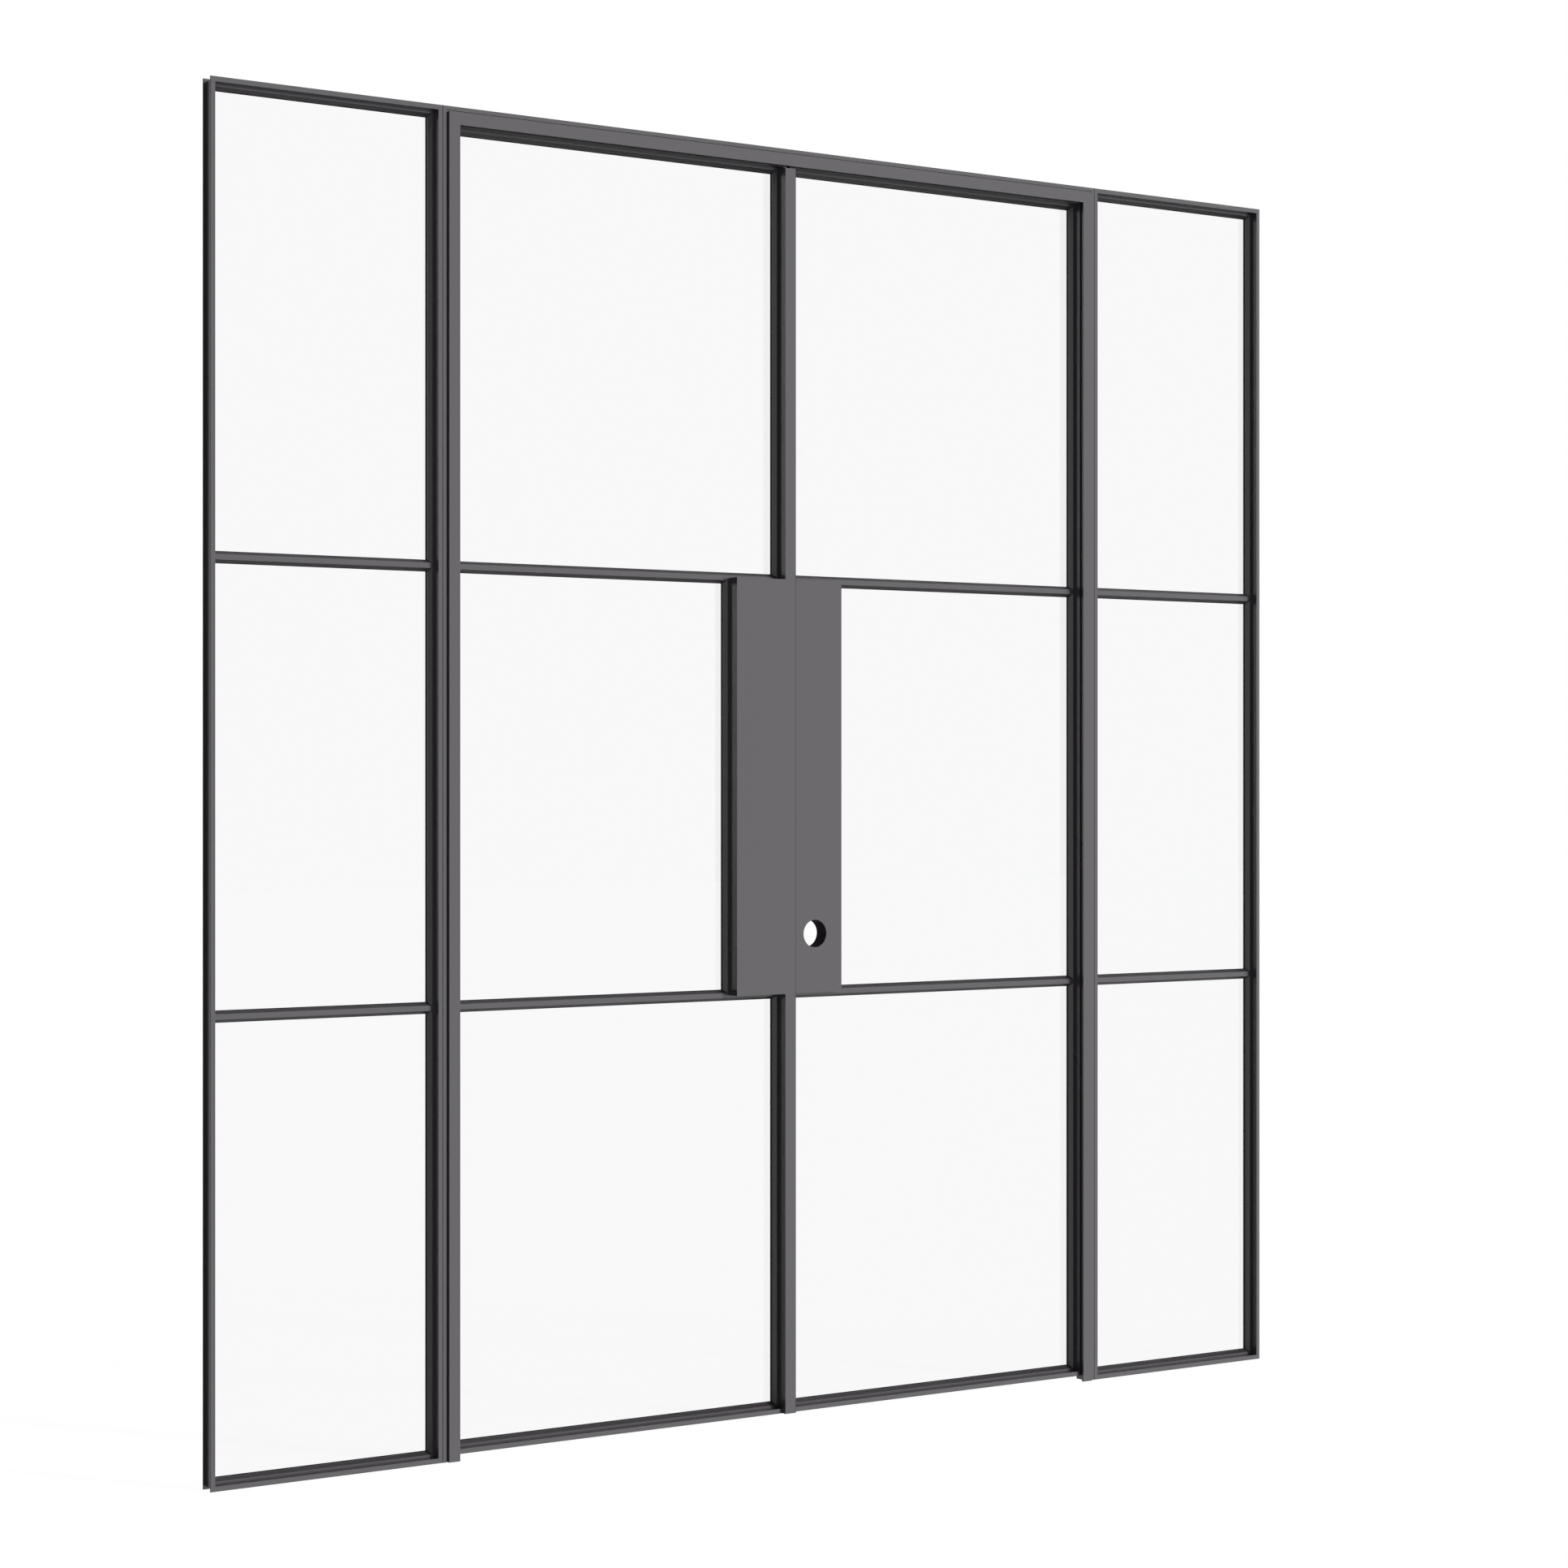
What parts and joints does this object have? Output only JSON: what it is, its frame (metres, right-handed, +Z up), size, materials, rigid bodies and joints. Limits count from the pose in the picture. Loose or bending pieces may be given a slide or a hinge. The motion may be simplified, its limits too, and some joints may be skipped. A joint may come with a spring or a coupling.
{
  "type": "interior glazed double doors with two sidelights",
  "caption": "Slim dark metal double doors with glazing bars and lock boxes, hung between two fixed glazed sidelights.",
  "frame": {"origin": "floor level, centre of the left jamb's foot, on its flat underside", "axes": "+Z up, +X along the wall from the left jamb to the right jamb, +Y through the wall, the way the leaves open"},
  "size_m": [2.4384, 0.0545, 2.464],
  "materials": {
    "frame_paint": "fine satin powder coat, dark warm grey",
    "hinge_paint": "satin powder coat, rubbed at the knuckles",
    "clear_glass": "clear flat glass"
  },
  "bodies": {
    "door_frame": {"left_sidelight_outer_stile": "frame_paint", "left_sidelight_inner_stile": "frame_paint", "left_sidelight_top_rail": "frame_paint", "left_sidelight_bottom_rail": "frame_paint", "left_sidelight_lower_bar": "frame_paint", "left_sidelight_upper_bar": "frame_paint", "left_sidelight_glass": "clear_glass", "right_sidelight_outer_stile": "frame_paint", "right_sidelight_inner_stile": "frame_paint", "right_sidelight_top_rail": "frame_paint", "right_sidelight_bottom_rail": "frame_paint", "right_sidelight_lower_bar": "frame_paint", "right_sidelight_upper_bar": "frame_paint", "right_sidelight_glass": "clear_glass", "left_jamb": "frame_paint", "right_jamb": "frame_paint", "head": "frame_paint", "left_stop": "frame_paint", "right_stop": "frame_paint", "head_stop": "frame_paint", "left_jamb_hinge_halves": "hinge_paint", "right_jamb_hinge_halves": "hinge_paint"},
    "left_leaf": {"left_leaf_hinge_stile": "frame_paint", "left_leaf_meeting_stile": "frame_paint", "left_leaf_top_rail": "frame_paint", "left_leaf_bottom_rail": "frame_paint", "left_leaf_lower_bar": "frame_paint", "left_leaf_upper_bar": "frame_paint", "left_leaf_lock_box": "frame_paint", "left_leaf_glass": "clear_glass", "left_leaf_hinge_halves": "hinge_paint", "meeting_bar": "frame_paint"},
    "right_leaf": {"right_leaf_hinge_stile": "frame_paint", "right_leaf_meeting_stile": "frame_paint", "right_leaf_top_rail": "frame_paint", "right_leaf_bottom_rail": "frame_paint", "right_leaf_lower_bar": "frame_paint", "right_leaf_upper_bar": "frame_paint", "right_leaf_lock_box": "frame_paint", "right_leaf_glass": "clear_glass", "right_leaf_hinge_halves": "hinge_paint"}
  },
  "joints": [
    {"name": "left_leaf_swing", "type": "hinge", "parent": "door_frame", "child": "left_leaf", "pos_m": [0.0127, 0.0275, 1.227], "axis": [0, 0, 1], "range_deg": [0, 110]},
    {"name": "right_leaf_swing", "type": "hinge", "parent": "door_frame", "child": "right_leaf", "pos_m": [1.4909, 0.0275, 1.227], "axis": [0, 0, -1], "range_deg": [0, 110]}
  ],
  "couplings": [
    {"joint": "left_leaf_swing", "follows": "right_leaf_swing", "ratio": 1}
  ]
}
